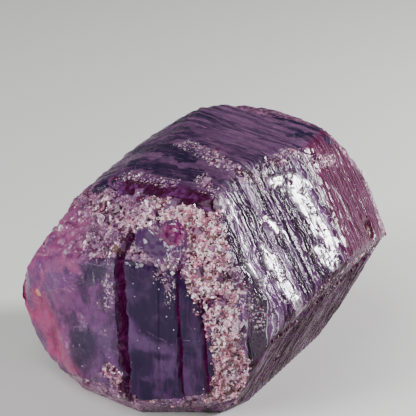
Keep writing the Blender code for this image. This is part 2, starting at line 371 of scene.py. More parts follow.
class SapphireStudio(bpy.types.PropertyGroup):
    floor: colour("Floor", "Colour of the floor", (0.64, 0.63, 0.62))
    key: power("Key light", "Power of the light that the front face mirrors", 0.64)
    top: power("Top light", "Power of the broad light above", 0.54)
    fill: power("Fill light", "Power of the light beside the camera", 0.94)
    world: FloatProperty(name="Room light", description="Strength of the plain room light", default=0.13)


def unselect():
    if bpy.context.object and bpy.context.object.mode != "OBJECT":
        bpy.ops.object.mode_set(mode="OBJECT")
    bpy.ops.object.select_all(action="DESELECT")


def finish_piece(piece, name):
    """Names a piece and puts its place in its mesh."""
    piece.name = name
    piece.data.name = name
    piece.data.transform(piece.matrix_world)
    piece.matrix_world.identity()
    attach(piece, "root")


def smooth(low, high, value):
    t = np.clip((value - low) / (high - low), 0.0, 1.0)
    return t * t * (3.0 - 2.0 * t)


def rough(points, size, seed=0.0):
    """Smooth noise from about -1 to 1 at each point, its lumps about the size given."""
    size = np.array(size, float)
    return np.array([noise.noise(Vector(point)) for point in points / size + seed])


def gaps_to(points):
    """How far each point lies inside each facet."""
    return REACHES - points @ NORMALS.T


def nearness(gaps, group, fade):
    """1 on the facets of a group, fading to 0 at a depth under them."""
    columns = [NAMES.index(name) for name in group]
    return np.clip(1.0 - np.maximum(gaps[:, columns].min(1), 0.0) / fade, 0.0, 1.0)


def leftness(points, low, high):
    """0 to 1 towards the left of the broken end, between two places along Y."""
    return smooth(low, high, points[:, 1]) * (points[:, 0] < 0)


def rounding(gaps, size):
    """How far rounded edges and corners stand back from the facets."""
    nearest = gaps.min(1)
    return size * np.log(np.exp((nearest[:, None] - gaps) / size).sum(1))


def saw(seed, heights, riser, gaps):
    """A saw profile: places along X and how far the side stands back there."""
    rng = random.Random(seed)
    places, backs, x = [], [], LEDGED[0]
    while x < LEDGED[1]:
        rise = rng.uniform(*heights)
        places += [x, x + riser]
        backs += [0.0, -rise]
        x += rng.uniform(*gaps)
    return places, backs


def line_offset(points, top, bottom):
    """Sideways distance in the broken end from the line between two (y, z) places."""
    run = np.array([top[0] - bottom[0], top[1] - bottom[1]])
    run /= np.linalg.norm(run)
    return (points[:, 1] - bottom[0]) * run[1] - (points[:, 2] - bottom[1]) * run[0]


def cleft_depths(points):
    """How deep each place of the broken end lies in a cleft."""
    wobble = 0.14 * rough(points, (9.0, 2.0, 0.9)) + 0.06 * rough(points, (9.0, 2.0, 0.35), 5.0)
    deepest = np.zeros(len(points))
    for top, bottom, half, depth in CLEFTS:
        off = np.abs(line_offset(points, top, bottom) + wobble * min(1.0, half / 0.3))
        ends = smooth(bottom[1] - 0.4, bottom[1] + 0.6, points[:, 2])
        ends *= 1.0 - smooth(top[1] - 0.6, top[1] + 0.4, points[:, 2])
        walls = 1.0 - smooth(half * 0.55, half * 1.15, off)
        deepest = np.maximum(deepest, depth * walls * ends)
    return deepest


def cut(place, normal, **more):
    """Cuts the whole mesh with a plane, keeps what lies behind it and closes the cut."""
    bpy.ops.mesh.select_all(action="SELECT")
    bpy.ops.mesh.bisect(
        plane_co=tuple(place), plane_no=tuple(normal), use_fill=True, clear_outer=True, **more)


def block_mesh(sizes):
    """A block cut back by every facet, then given an even fine mesh."""
    unselect()
    bpy.ops.mesh.primitive_cube_add(size=BLOCK_SIDE)
    block = bpy.context.object
    bpy.ops.object.mode_set(mode="EDIT")
    for normal, reach in zip(NORMALS, REACHES):
        cut(normal * reach, normal, threshold=0.0005)
    bpy.ops.mesh.select_all(action="SELECT")
    bpy.ops.mesh.normals_make_consistent(inside=False)
    bpy.ops.object.mode_set(mode="OBJECT")
    skin = block.modifiers.new("Even mesh", "REMESH")
    skin.mode = "VOXEL"
    skin.voxel_size = sizes.voxel
    bpy.ops.object.modifier_apply(modifier=skin.name)
    return block


def read_points(mesh):
    points = np.zeros(len(mesh.vertices) * 3, np.float32)
    mesh.vertices.foreach_get("co", points)
    normals = np.zeros(len(mesh.vertices) * 3, np.float32)
    mesh.vertex_normals.foreach_get("vector", normals)
    return points.reshape(-1, 3).astype(float), normals.reshape(-1, 3).astype(float)


def write_points(mesh, points):
    mesh.vertices.foreach_set("co", points.astype(np.float32).ravel())
    mesh.update()


def store(mesh, name, values):
    mesh.attributes.new(name, "FLOAT", "POINT").data.foreach_set("value", values.astype(np.float32))


def read_tone(mesh, name):
    values = np.zeros(len(mesh.vertices), np.float32)
    mesh.attributes[name].data.foreach_get("value", values)
    return values


def line_gap(points, first, second):
    """Distance of each point from the line between two places."""
    run = second - first
    part = np.clip(((points - first) @ run) / (run @ run), 0.0, 1.0)
    return np.linalg.norm(points - first - part[:, None] * run, axis=1)


def along(points, strokes, ragged=0.35):
    """1 on a tone's lines, fading raggedly to 0 past their half width."""
    found = np.zeros(len(points))
    wander = ragged * rough(points, 0.9, 14.0) + 0.5 * ragged * rough(points, 0.4, 15.0)
    for half, places in strokes:
        nearest = np.full(len(points), np.inf)
        for first, second in zip(np.array(places[:-1]), np.array(places[1:])):
            nearest = np.minimum(nearest, line_gap(points, first, second))
        found = np.maximum(found, 1.0 - smooth(0.75, 1.2, nearest / half + wander))
    return found


def within(points, outlines, fade=0.22):
    """1 inside outlines on the broken end, fading to 0 outside."""
    flat = points[:, 1:] + 0.1 * np.stack([rough(points, 0.8, 16.0), rough(points, 0.8, 17.0)], 1)
    found = np.zeros(len(points))
    for outline in outlines:
        corners = np.array(outline)
        inside, nearest = np.zeros(len(points), bool), np.full(len(points), np.inf)
        for first, second in zip(corners, np.roll(corners, -1, axis=0)):
            nearest = np.minimum(nearest, line_gap(flat, first, second))
            crosses = (first[1] > flat[:, 1]) != (second[1] > flat[:, 1])
            run = second - first
            with np.errstate(divide="ignore", invalid="ignore"):
                inside ^= crosses & (flat[:, 0] < first[0] + run[0] * (flat[:, 1] - first[1]) / run[1])
        found = np.maximum(found, smooth(-fade, fade, np.where(inside, nearest, -nearest)))
    return found


def chance(places, salt):
    """A random value from 0 to 1 for each place, always the same for the same place."""
    return np.modf(np.abs(np.sin(places @ np.array(CHANCE_TURN) + salt) * CHANCE_SPREAD))[0]


def facets(points, size, seed):
    """Heights of crowded little pyramids with flat sides, each turned its own way."""
    spots = points / size + seed
    seeds = np.array([[tuple(spot) for spot in noise.voronoi(Vector(point))[1][:3]] for point in spots])
    away = spots[:, None, :] - seeds
    first, other = (np.stack([chance(seeds, salt + i) - 0.5 for i in range(3)], -1) for salt in (1.0, 5.0))
    first /= np.linalg.norm(first, axis=-1, keepdims=True)
    second = np.cross(first, other)
    second /= np.linalg.norm(second, axis=-1, keepdims=True)
    reach = np.abs([(away * axis).sum(-1) for axis in (first, second, np.cross(first, second))]).max(0)
    return size * (0.5 * chance(seeds, 9.0) - 0.75 * reach).max(1)


def tones(points, gaps):
    """What each place on the crystal is, as shares from 0 to 1 by name. A cleft has its depth."""
    x, y, z = points.T
    end = nearness(gaps, END_FACETS, 0.35)
    rim = nearness(gaps, [name for name in RIMS if name not in LEDGED_RIMS], 0.7) * (1.0 - end)
    sugar = along(points, SUGAR)
    bruise = rim * smooth(-0.2, 0.2, rough(points, 2.2, 11.0) + 0.25 * (x < 0) * (z > 0))
    clear = along(points, CLEAR, 0.3)
    return {
        "rim": rim,
        "end": end,
        "clear": clear,
        "sugar": sugar * (1.0 - clear),
        "bruise": np.maximum(sugar, bruise) * (1.0 - clear),
        "glint": along(points, GLINTS, 0.5),
        "left": smooth(-1.9, -0.9, y - 0.04 * z),
        "rosy": leftness(points, *ROSY),
        "veined": leftness(points, *VEINED),
        "cleft": cleft_depths(points) * (x < 0),
        "pink": nearness(gaps, ("pink_facet",), 0.25) * (1.0 - smooth(-2.9, -1.5, z)),
        "top": nearness(gaps, TOP_FACETS, 0.5),
        "far": nearness(gaps, FAR_FACETS, 0.5),
        "under": nearness(gaps, UNDER_FACETS, 0.5),
        "navy": along(points, NAVY),
        "maroon": along(points, MAROON),
        "fleck": along(points, FLECKS, 0.6),
        "pale_edge": along(points, PALE_EDGES),
        "pink_edge": along(points, PINK_EDGES),
        "slab": within(points, SLABS, 0.55) * end,
        "dusk": within(points, DUSK) * end,
        "haze": within(points, HAZE, 0.5) * end,
        "rose": within(points, ROSE, 0.9) * (x < 0),
    }


def side_relief(points, gaps, tone):
    """How far the ledges and long steps stand out of the side faces."""
    x, z = points[:, 0], points[:, 2]
    side = nearness(gaps, (*SIDES, *LEDGED_RIMS), 0.9) * (1.0 - tone["sugar"]) * (1.0 - tone["end"])
    coarse = np.interp(x, *saw(*LEDGES)) * (0.75 + 0.7 * rough(points, (5.0, 3.0, 3.0)))
    fine = np.interp(x + 0.12 * rough(points, 2.5, 9.0), *saw(*FINE_LEDGES))
    fine *= 0.9 + 0.9 * rough(points, (0.9, 3.5, 3.5), 3.0)
    worn_far = nearness(gaps, ("front_far",), 0.5)
    calm = (1.0 - 0.88 * tone["glint"]) * (1.0 - 0.85 * worn_far) * (1.0 - 0.4 * tone["top"])
    step = np.zeros(len(points))
    drop = STEP_TOP - z + 0.25 * rough(points, 3.0, 7.0)
    for below, rise in STEPS:
        step = np.where(drop > below, np.where(step == 0.0, -rise, step * 0.4), step)
    step *= nearness(gaps, ("front_lower",), 0.2) * (1.0 - tone["rim"])
    return (coarse + fine) * calm * side + step


def broken_relief(points, gaps, tone, sizes):
    """How far the rims' lumps and chips stand out, less the worn edges and the pits."""
    lumps = rough(points, sizes.lump_size) + 0.5 * rough(points, sizes.lump_size / 2.3) - 0.1
    chips = 0.55 * facets(points, 1.5, 20.0) + 0.6 * facets(points, 0.65, 30.0)
    rise = sizes.lump_height * lumps * tone["bruise"] + chips * (0.3 * tone["rim"] + 0.7 * tone["bruise"])
    rise -= rounding(gaps, sizes.edge_wear) * (0.9 + 0.5 * rough(points, 0.8, 4.0) + 0.4 * tone["rim"])
    for place, radius, depth in PITS:
        off = np.linalg.norm(points - place, axis=1) + 0.25 * rough(points, 0.7, 1.0)
        rise -= depth * (1.0 - smooth(radius * 0.55, radius, off))
    return rise


def end_relief(points, tone):
    """How far the broken end lies back along X in its clefts, waves and dropped slab."""
    waves = 0.05 * rough(points, (4.0, 1.6, 2.6), 6.0)
    waves += (0.12 + 0.22 * tone["left"]) * facets(points, 3.1, 40.0)
    waves += (0.06 + 0.1 * tone["left"]) * facets(points, 1.2, 50.0)
    slab = (points[:, 1] > CLEFTS[1][0][0]) & (points[:, 1] < SLAB_EDGE)
    return tone["cleft"] + (SLAB_DROP * slab - waves) * tone["end"]


def carve(mesh, sizes):
    """Moves the block's points into ledges, steps, chips, clefts and pits, and keeps what each place is."""
    points, normals = read_points(mesh)
    gaps = gaps_to(points)
    tone = tones(points, gaps)
    for name, share in tone.items():
        store(mesh, name, share)
    outward = points * (0.0, 1.0, 1.0)
    outward /= np.linalg.norm(outward, axis=1)[:, None] + 1e-9
    move = outward * side_relief(points, gaps, tone)[:, None]
    move += normals * broken_relief(points, gaps, tone, sizes)[:, None]
    move[:, 0] += end_relief(points, tone)
    above_base = smooth(BASE_Z, BASE_Z + 1.2, points[:, 2])
    points += move * above_base[:, None]
    points[:, 2] = np.maximum(points[:, 2], BASE_Z)
    write_points(mesh, points)


def to_frame(mesh):
    """From millimetres about the crystal's middle to the frame's metres, inside the solid's box."""
    points, _ = read_points(mesh)
    points = (points + np.array(MIDDLE)) * MM
    write_points(mesh, np.clip(points, *np.array(CAD_BOX)))


class Socket:
    """A value in a material. Python's operators on it add Math nodes."""

    def __init__(self, finish, socket):
        self.finish, self.socket = finish, socket

    def maths(self, operation, *others):
        return self.finish.maths(operation, self, *others)

    def __rsub__(self, other):
        return self.finish.maths("SUBTRACT", other, self)

    __add__ = __radd__ = partialmethod(maths, "ADD")
    __sub__ = partialmethod(maths, "SUBTRACT")
    __mul__ = __rmul__ = partialmethod(maths, "MULTIPLY")
    __truediv__ = partialmethod(maths, "DIVIDE")
    least = partialmethod(maths, "MINIMUM")
    most = partialmethod(maths, "MAXIMUM")
    size = partialmethod(maths, "ABSOLUTE")

    def step(self, low, high):
        """0 below low, 1 above high, and smooth between."""
        inputs = {"Value": self, "From Min": low, "From Max": high}
        return self.finish.node("MapRange", {"interpolation_type": "SMOOTHSTEP"}, inputs)


class Finish:
    """A material whose nodes are written as expressions on sockets, with its colours by name."""

    def __init__(self, name, hues=None, **plain):
        self.hues = hues
        self.material = bpy.data.materials.new(name)
        self.material.use_nodes = True
        self.tree = self.material.node_tree
        self.shader = self.tree.nodes["Principled BSDF"]
        self.set_plain(self.shader, plain)

    def set_plain(self, shader, plain):
        for socket, value in plain.items():
            shader.inputs[socket.replace("_", " ")].default_value = value

    def second_gloss(self, factor, **plain):
        """A second shader with values of its own that shows where the factor is 1."""
        second = self.tree.nodes.new("ShaderNodeBsdfPrincipled")
        self.set_plain(second, plain)
        for name in ("Base Color", "Roughness", "Normal"):
            self.tree.links.new(self.shader.inputs[name].links[0].from_socket, second.inputs[name])
        both = self.tree.nodes.new("ShaderNodeMixShader")
        self.fill(both.inputs["Fac"], factor)
        self.tree.links.new(self.shader.outputs[0], both.inputs[1])
        self.tree.links.new(second.outputs[0], both.inputs[2])
        self.tree.links.new(both.outputs[0], self.tree.nodes["Material Output"].inputs["Surface"])

    def fill(self, socket, value):
        value = getattr(self.hues, value) if isinstance(value, str) else value
        if isinstance(value, Socket):
            self.tree.links.new(value.socket, socket)
        elif hasattr(value, "__len__") and len(value) == 3 and len(getattr(socket, "default_value", ())) == 4:
            socket.default_value = (*value, 1.0)
        else:
            socket.default_value = value

    def node(self, kind, settings=None, inputs=None, output=0):
        node = self.tree.nodes.new("ShaderNode" + kind)
        for name, value in (settings or {}).items():
            setattr(node, name, value)
        for name, value in (inputs or {}).items():
            self.fill(node.inputs[name], value)
        return Socket(self, node.outputs[output])

    def places(self):
        """Object coordinates in millimetres about the crystal's middle."""
        coords = self.node("TexCoord", output="Object")
        return self.stretched(coords, (1 / MM, 1 / MM, 1 / MM), tuple(-MIDDLE))

    def stretched(self, vector, scale, shift=(0.0, 0.0, 0.0)):
        return self.node("Mapping", {}, {"Vector": vector, "Location": shift, "Scale": scale})

    def noise(self, vector, scale, detail=3.0, roughness=0.55, distortion=0.0):
        inputs = {"Vector": vector, "Scale": scale, "Detail": detail, "Roughness": roughness}
        return self.node("TexNoise", {}, {**inputs, "Distortion": distortion})

    def voronoi(self, vector, scale, output="Distance"):
        return self.node("TexVoronoi", {}, {"Vector": vector, "Scale": scale}, output)

    def axes(self, vector):
        node = self.tree.nodes.new("ShaderNodeSeparateXYZ")
        self.fill(node.inputs[0], vector)
        return [Socket(self, output) for output in node.outputs]

    def attribute(self, name):
        return self.node("Attribute", {"attribute_name": name}, output="Fac")

    def mix(self, first, second, factor):
        settings = {"data_type": "RGBA", "clamp_factor": True}
        return self.node("Mix", settings, {0: factor, 6: first, 7: second}, output=2)

    def layers(self, first, *more):
        """Colours laid over one another, each with its share here."""
        for over, share in more:
            first = self.mix(first, over, share)
        return first

    def teeth(self, along, width):
        """A saw along a length: its height from 0 to 1, and two random values of each tooth."""
        count = along / width
        index = self.maths("FLOOR", count)
        seed = self.node("TexWhiteNoise", {"noise_dimensions": "1D"}, {"W": index + width}, "Color")
        first, second, _ = self.axes(seed)
        return self.maths("FRACT", count), first, second

    def crest(self, tooth, tone):
        """A tooth that turns down before its end, more steeply where its tone is high."""
        return tooth.least(0.8 + (0.8 - tooth) * (tone * 2.4 + 0.2))

    def maths(self, operation, *values):
        return self.node("Math", {"operation": operation}, dict(enumerate(values)))

    def vectors(self, operation, output, *values):
        return self.node("VectorMath", {"operation": operation}, dict(enumerate(values)), output)

    def scratches(self, vector, lines, width):
        """1 on thin lines between (y, z) places of the broken end, 0 elsewhere."""
        found = None
        for start, end in lines:
            start, run = Vector((0, *start)), Vector((0, end[0] - start[0], end[1] - start[1]))
            off = self.vectors("SUBTRACT", "Vector", self.stretched(vector, (0.0, 1.0, 1.0)), tuple(start))
            part = self.vectors("DOT_PRODUCT", "Value", off, tuple(run)) / run.length_squared
            part = part.most(0.0).least(1.0)
            inputs = {0: tuple(run), "Scale": part}
            nearest = self.node("VectorMath", {"operation": "SCALE"}, inputs, "Vector")
            line = self.vectors("DISTANCE", "Value", off, nearest).step(width, width * 0.4)
            found = line if found is None else found.most(line)
        return found

    def choose(self, first, second, factor):
        return first + (second - first) * factor

    def blob(self, vector, centre, radii, ragged):
        """1 inside an ellipsoid with ragged edges, 0 outside."""
        scale = tuple(1.0 / radius for radius in radii)
        shift = tuple(-place / radius for place, radius in zip(centre, radii))
        off = self.vectors("LENGTH", "Value", self.stretched(vector, scale, shift))
        return 1.0 - (off + (ragged - 0.5) * 0.9).step(0.75, 1.1)

    def bump(self, height, strength=1.0):
        """Height in millimetres."""
        return self.node("Bump", {}, {"Height": height, "Strength": strength, "Distance": MM})

    def paint(self, colour, roughness, normal):
        for name, value in (("Base Color", colour), ("Roughness", roughness), ("Normal", normal)):
            self.fill(self.shader.inputs[name], value)
        return self.material


def crystal_noises(f):
    """The noises, teeth and shares that the crystal's colours and bumps have in common."""
    shares = ("top", "far", "under", "left", "clear", "rosy", "rose", "glint")
    n = SimpleNamespace(**{name: f.attribute(name) for name in shares})
    n.place = f.places()
    n.x, n.y, _ = f.axes(n.place)
    n.cloud = f.noise(n.place, 0.22, 4.0)
    n.mottle = f.noise(n.place, 0.7, 4.0, 0.62, 0.6)
    n.ragged = f.noise(n.place, 2.4, 4.0, 0.65)
    n.grit = f.noise(n.place, 5.5, 3.0, 0.6)
    n.veil = f.noise(f.stretched(n.place, (1.0, 1.0, 0.7)), 0.55, 5.0, 0.55, 0.35)
    n.lines = f.noise(f.stretched(n.place, (0.2, 1.0, 0.1)), 4.5, 2.0)
    n.bits, n.bit_tone, _ = f.axes(f.voronoi(n.place, 3.1, output="Color"))

    # Streaks and teeth lie square to the long axis.
    n.streak = f.noise(f.stretched(n.place, (1.0, 0.22, 0.22)), 2.1, 5.0, 0.66, 0.3)
    n.hair = f.noise(f.stretched(n.place, (1.0, 0.1, 0.1)), 5.2, 3.0, 0.6, 0.15)
    wander = f.noise(f.stretched(n.place, (0.5, 0.25, 0.25)), 1.3, 2.0) * 1.6 + n.hair * 0.25
    n.tooth, n.rise, n.tooth_tone = f.teeth(n.x + wander, TOOTH_WIDTH)
    n.nick, n.nick_rise, n.nick_tone = f.teeth(n.x + wander * 1.1, NICK_WIDTH)

    # Shares with broken edges.
    n.end, n.sugar, bruise = (
        (f.attribute(name) + (n.ragged - 0.5) * 0.7).step(0.4, 0.6) for name in ("end", "sugar", "bruise"))
    n.bruise = bruise * (1.0 - n.rose * 0.7)
    n.window = f.blob(n.place, WINDOW, WINDOW_STAIN, n.bits * 0.5 + n.mottle * 0.5)
    n.pocket = f.blob(n.place, POCKET, POCKET_STAIN, n.ragged)

    # Smooth patches that mirror the key light, with cracks between them.
    n.crack = (n.mottle - 0.5).size().step(0.03, 0.01)
    calm = n.glint * 0.84 + 0.35 + (n.streak - 0.5) * 1.3 + (n.hair - 0.5) + (n.ragged - 0.5) * 1.3
    n.calm = (calm - n.tooth_tone * 0.5 - n.nick_tone * 0.45).step(0.38, 0.46) * (1.0 - n.crack)
    return n


def side_colour(f, n):
    """Streaked glass of the ledged side faces, with painted highlights along the ledges' edges."""
    shade = n.tooth_tone * 0.45 + n.streak * 0.45 + n.nick_tone * 0.25
    # Edges of the teeth and nicks, where a painted highlight is laid.
    edge = n.tooth.step(0.16, 0.06) * (n.tooth_tone * 0.5 + n.ragged * 0.8).step(0.68, 0.78)
    edge = edge.most(n.nick.step(0.36, 0.16) * (n.nick_tone * 0.5 + n.ragged * 0.7).step(0.72, 0.8))
    broad = n.streak * 0.45 + n.cloud * 0.5 + n.nick_tone * 0.1 + n.tooth_tone * 0.1
    threads = (n.hair * 0.6 + n.streak * 0.5).step(0.58, 0.7) * 0.4
    patches = f.noise(f.stretched(n.place, (0.3, 0.6, 1.6)), 0.9, 4.0)
    far = (n.streak * 0.6 + n.mottle * 0.4).step(0.36, 0.62)
    top = f.layers("navy", ("heather", broad.step(0.42, 0.66)), ("lilac", threads.most(edge * 0.35)))
    far = f.layers("maroon", ("mauve", far), ("lilac", edge * 0.3))
    # The faces underneath are dark maroon, partly their own colour and partly painted shade.
    under = f.layers("maroon", ("plum", patches.step(0.45, 0.65) * 0.7), ("lilac", edge * 0.7))
    return f.layers(
        "ledge_dark",
        ("ledge_mid", shade.step(0.42, 0.66)),
        ("ledge_pale", (shade * 0.5 + n.hair * 0.45 + n.ragged * 0.15).step(0.62, 0.7) * 0.6),
        ("maroon", n.mottle.step(0.52, 0.68) * 0.55),
        ("ledge_dark", n.tooth.step(0.84, 0.97) * 0.85),
        # Painted highlight along the ledges' edges.
        ("painted_glint", edge * 0.8),
        (top, n.top),
        (far, n.far),
        (under, n.under))


def calm_violet(f, n):
    """Even violet glass of the clear spots."""
    return f.mix("violet", "haze", n.cloud.step(0.4, 0.6) * 0.3)


def rim_colour(f, n):
    """Rough violet glass of the bruised rims."""
    veins = f.attribute("veined") * n.veil.step(0.38, 0.58)
    return f.layers(
        "maroon",
        ("mauve", (n.mottle * 0.7 + n.grit * 0.4).step(0.42, 0.6)),
        ("plum", n.cloud.step(0.42, 0.6) * 0.8),
        ("lilac", (n.ragged * 0.5 + n.mottle * 0.5).step(0.44, 0.58) * (0.35 + n.rosy * 0.5)),
        ("sugar", (n.ragged * 0.6 + n.grit * 0.5).step(0.6, 0.7) * 0.4),
        (f.mix("rose", "lilac", n.mottle.step(0.4, 0.6)), veins * 0.7),
        (calm_violet(f, n), n.clear))


def crushed_colour(f, n):
    """Sugar between the grains, where the rims are crushed."""
    stained = (n.bit_tone * 0.35 + f.noise(n.place, 0.9) * 0.8).step(0.6, 0.7)
    return f.layers(
        "sugar_pink",
        ("sugar", (n.bits * 0.7 + n.grit * 0.6).step(0.52, 0.85)),
        ("lilac", n.mottle.step(0.42, 0.56) * n.rosy * 0.8),
        ("maroon", (n.bit_tone * 0.5 + n.ragged * 0.6).step(0.44, 0.6)),
        ("stain", stained * (0.8 - n.rosy * 0.6)))


def end_colour(f, n):
    """Violet glass of the broken end: dark slabs and pale hazes, rosier to the left."""
    right = f.mix("violet", "slab", (n.lines * 0.5 + n.veil * 0.5).step(0.6, 0.42))
    left = f.mix("violet", "plum", n.veil.step(0.42, 0.6))
    rosy_glass = f.mix("plum", "rose", (n.veil * 0.5 + n.mottle * 0.5).step(0.38, 0.54))
    blush = (n.rose * 0.5 + (n.y * 0.07).most(0.0) + (n.veil - 0.5) * 1.2).step(0.15, 1.1)
    haze = (f.attribute("haze") * 0.8 + (n.veil - 0.5) * 1.8 + (n.ragged - 0.5) * 0.6).step(0.1, 1.0)
    dusk = (f.attribute("dusk") + (n.veil - 0.5) * 0.8).step(0.2, 0.8)
    slabs = (f.attribute("slab") + (n.veil - 0.5) * 0.8 + (n.ragged - 0.5) * 0.6).step(0.15, 0.9)
    marks = f.scratches(n.place, SCRATCHES, SCRATCH_WIDTH) * n.ragged.step(0.4, 0.62)
    # Tiny pale dots on the broken end: painted sparkle.
    painted_sparkles = f.voronoi(n.place, 1.9).step(0.15, 0.07) * n.mottle.step(0.52, 0.6)
    return f.layers(
        f.mix(right, left, n.left),
        (rosy_glass, blush * 0.9),
        ("haze", haze * 0.75),
        ("lilac", (n.ragged * 0.4 + n.mottle * 0.6).step(0.54, 0.68) * n.left * 0.45),
        ("plum", dusk * 0.85),
        ("slab", slabs * (0.5 + n.lines * 0.3 + n.mottle * 0.3)),
        ("haze", (n.veil * 0.6 + n.cloud * 0.5).step(0.54, 0.68) * 0.4),
        ("ledge_pale", marks * 0.6),
        ("ledge_pale", (n.ragged * 0.5 + n.grit * 0.5).step(0.63, 0.7) * 0.35),
        ("sugar", painted_sparkles * 0.6),
        (calm_violet(f, n), n.clear))


def crystal_colour(f, n):
    """All the crystal's colours, each laid over those before it."""

    def streaky(name):
        """A tone's share here, broken up along the streaks."""
        return (f.attribute(name) * 0.62 + (n.streak - 0.5) * 1.5 + (n.hair - 0.5) * 1.3).step(0.3, 0.64)

    rim = rim_colour(f, n)
    # Painted shadow: a dark maroon band along the maroon lines.
    shadow = (f.attribute("maroon") * 0.75 + (n.mottle - 0.5) * 1.4 + (n.ragged - 0.5) * 0.8).step(0.28, 0.6)
    fleck = f.attribute("fleck") * (n.ragged * 0.6 + n.grit * 0.6).step(0.6, 0.7)
    pinkish = f.layers(
        "pink", ("mauve", n.mottle.step(0.45, 0.6) * 0.6), ("rose", n.veil.step(0.5, 0.7)))
    panes = f.layers(
        "magenta",
        (f.mix("mauve", "rose", n.ragged), (n.mottle * 0.6 + n.ragged * 0.4).step(0.42, 0.58)),
        # Painted highlight: near-white glints on the window's panes.
        ("sugar", (n.ragged * 0.6 + n.grit * 0.4).step(0.6, 0.66) * 0.6))
    specks = [
        (hue, f.blob(n.place, centre, (radius,) * 3, n.grit) * 0.8) for hue, radius, centre in SPECKS]
    return f.layers(
        side_colour(f, n),
        (rim, f.attribute("rim") * 0.85),
        (rim, (n.bruise * 0.8).most(n.clear)),
        (f.mix("navy", "heather", n.hair.step(0.5, 0.66) * 0.5), streaky("navy")),
        (f.mix("maroon", "plum", (n.mottle * 0.6 + n.ragged * 0.4).step(0.46, 0.6)), shadow),
        (f.mix("mauve", "lilac", n.ragged.step(0.42, 0.58)), streaky("pink_edge") * 0.8),
        (end_colour(f, n), n.end.most(n.rose * 0.85)),
        (f.mix("haze", "sugar", n.grit.step(0.5, 0.62)), fleck * (0.75 - n.end * 0.3)),
        (crushed_colour(f, n), n.sugar),
        # The pink facet: partly its own pink and partly painted glow of light through the thin edge.
        (pinkish, f.attribute("pink") * (1.0 - n.sugar * 0.6)),
        ("haze", f.attribute("pale_edge") * (0.4 + n.mottle * 0.6)),
        ("magenta", f.attribute("cleft").step(0.1, 0.35)),
        (panes, n.window),
        (f.mix("maroon", "stain", n.ragged.step(0.45, 0.6) * 0.6), n.pocket * 0.85),
        *specks,
        # Painted highlight on the patches that mirror the key light.
        ("painted_glint", n.calm * n.glint * 0.15),
        ("mauve", n.crack * n.glint * 0.8))


def crystal_height(f, n):
    """Fine relief in millimetres: ridges on the sides, ripples on the glass and crumbs on the rims."""
    teeth = f.crest(n.tooth, n.tooth_tone) * (n.rise * 0.6 + 0.4) * 0.32
    teeth = teeth + f.crest(n.nick, n.nick_tone) * (n.nick_rise * 0.6 + 0.4) * 0.1
    ridges = teeth * (1.0 - n.top * 0.75) + n.streak * 0.06 + n.hair * 0.03 + n.grit * 0.012
    ridges = ridges * (1.0 - n.calm * 0.92) * (1.0 - n.far * 0.85)
    ridges = ridges - n.tooth.step(0.9, 1.0) * 0.03 - n.nick.step(0.86, 1.0) * 0.012
    crumbs = f.voronoi(n.place, 3.4) * 0.22 + f.noise(n.place, 4.5, 4.0, 0.7) * 0.12
    ripples = n.veil * 0.1 + n.lines * 0.02 + n.grit * 0.012 + (n.mottle * 0.28 + n.ragged * 0.1) * n.left
    ripples = ripples * (1.0 - n.clear * 0.85)
    height = f.choose(ridges, ripples, n.end.most(n.clear).most(n.rose))
    return f.choose(height, crumbs, n.sugar.most(n.bruise * 0.6) * (1.0 - n.window))


def crystal_finish(hues):
    """Violet glass with streaked ledged faces, a slabbed broken end and sugary rims."""
    f = Finish("violet_sapphire", hues, IOR=CORUNDUM_IOR, Specular_IOR_Level=0.3)
    n = crystal_noises(f)
    shine = n.mottle * 0.08 + n.sugar * 0.16 + n.bruise * 0.06 + 0.07
    f.paint(crystal_colour(f, n), shine, f.bump(crystal_height(f, n)))
    dull = (n.end * (1.0 - n.left * 0.6)).most(n.clear * 0.9)
    dull = dull.most(n.far * 0.8).most(n.under * 0.9).most(n.pocket)
    f.second_gloss(dull, IOR=CORUNDUM_IOR, Specular_IOR_Level=0.09)
    return f.material


def grain_finish(hues):
    """Small pale crystals, each with its own tint, the palest with painted sparkle and those low on the crust
    darkened by painted shade.
    """
    f = Finish("sugar_grains", hues, IOR=CORUNDUM_IOR, Specular_IOR_Level=0.45)
    place, tint = f.places(), f.attribute("tint")
    _, _, height = f.axes(place)
    # Painted shade: the grains darken towards the bottom of the crust, broken up by noise.
    low = (height * -0.12 + (f.noise(place, 0.6) - 0.5) * 2.0).step(-0.1, 0.9)
    # Brown and maroon patches, partly stain and partly painted shade, more of them low on the crust.
    painted_shade_and_stain = f.noise(place, 1.4, 3.0).step(0.5, 0.6) * (0.25 + low * 0.6)
    rosy = f.attribute("rosy") * f.noise(place, 0.5).step(0.34, 0.5)
    body = f.layers(
        "maroon",
        ("sugar_pink", tint.step(0.08, 0.3)),
        ("sugar", tint.step(0.32, 0.56)),
        # Painted sparkle: the palest grains turn near white.
        (PAINTED_SPARKLE, tint.step(0.76, 0.86)),
        ("stain", tint.step(0.315, 0.3) * tint.step(0.27, 0.28)),
        ("sugar_pink", f.noise(place, 0.8).step(0.44, 0.6) * 0.75),
        (f.mix("sugar_pink", "maroon", tint.step(0.6, 0.2)), low * 0.6),
        (f.mix("stain", "maroon", tint.step(0.3, 0.6)), painted_shade_and_stain),
        (f.mix("heather", "lilac", tint.step(0.25, 0.55)), rosy * 0.85))
    return f.paint(body, 0.1 + tint * 0.15, f.bump(f.noise(place, 6.0, 3.0) * 0.06, 0.6))


